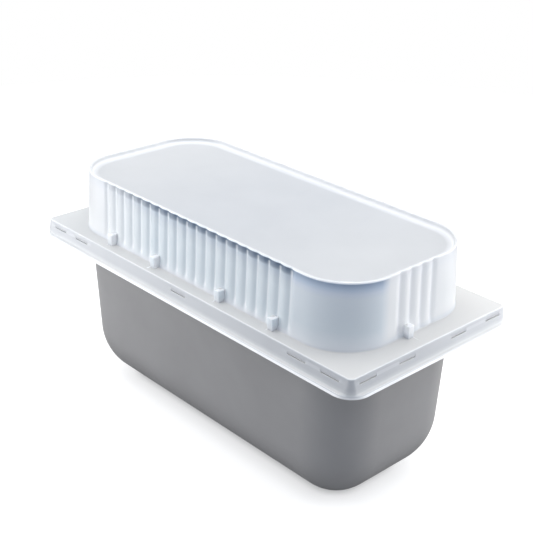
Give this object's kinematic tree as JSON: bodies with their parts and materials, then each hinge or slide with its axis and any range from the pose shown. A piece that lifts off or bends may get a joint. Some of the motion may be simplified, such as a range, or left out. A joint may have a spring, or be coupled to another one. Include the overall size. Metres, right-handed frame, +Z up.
{
  "type": "covered loaf mould",
  "caption": "Deep drafted loaf tub with a flat rim, and a high domed cover with a fluted wall, a slotted skirt and a sunk flat top.",
  "frame": {"origin": "middle of the tub's base, on the surface it stands on", "axes": "+X along the length, +Y across the width, +Z up out of the tub's mouth"},
  "size_m": [0.374, 0.177, 0.198],
  "materials": {
    "tub_plastic": "opaque mid-grey moulded polypropylene with a satin skin",
    "cover_plastic": "thin translucent milky polypropylene, slightly blue, with a soft gloss"
  },
  "bodies": {
    "tub": {"mould_tub": "tub_plastic"},
    "cover": {"domed_cover": "cover_plastic"}
  },
  "joints": [
    {"name": "cover_lift", "type": "slide", "parent": "tub", "child": "cover", "axis": [0, 0, 1], "range_m": [0, 0.08]}
  ]
}
